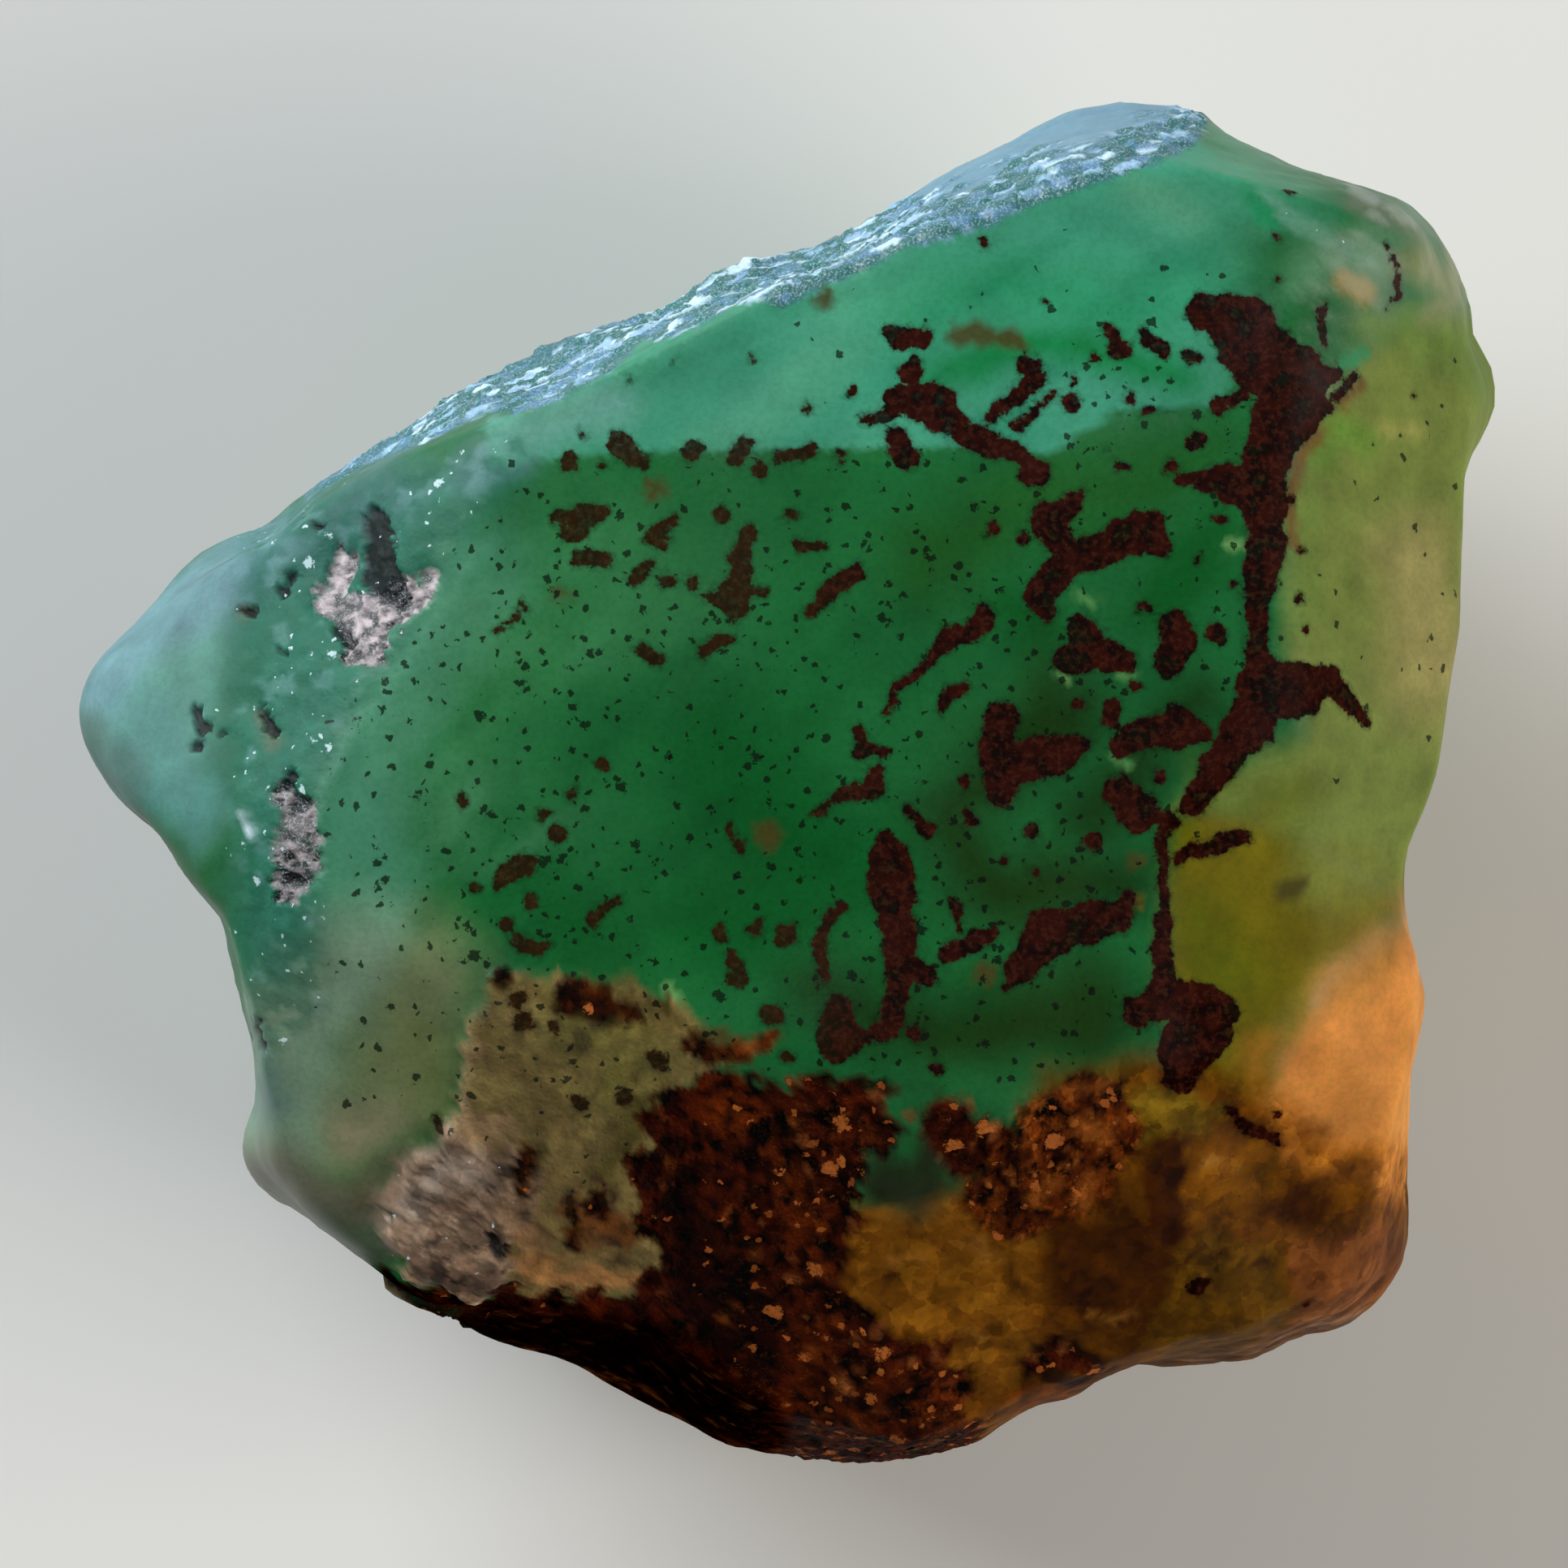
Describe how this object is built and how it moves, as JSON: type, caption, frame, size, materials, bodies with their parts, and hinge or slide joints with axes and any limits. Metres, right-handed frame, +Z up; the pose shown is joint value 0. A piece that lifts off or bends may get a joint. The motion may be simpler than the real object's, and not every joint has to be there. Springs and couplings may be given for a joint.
{
  "type": "emerald crystal",
  "caption": "Rough natural emerald: a cloudy green crystal fragment with broken faces, dark mica inclusions and iron staining, lying on its flattest break.",
  "frame": {"origin": "middle of the stone's extent seen from above, on the surface that it rests on", "axes": "+Z up out of the flat break it rests on, towards the smooth front face; +X towards the steep yellow-green side; +Y towards the glittering broken edge"},
  "size_m": [0.035, 0.0338, 0.0199],
  "materials": {
    "emerald": "cloudy translucent green, vitreous on the smooth faces and granular on the broken ones"
  },
  "bodies": {
    "root": {"emerald_crystal": "emerald"}
  },
  "joints": []
}
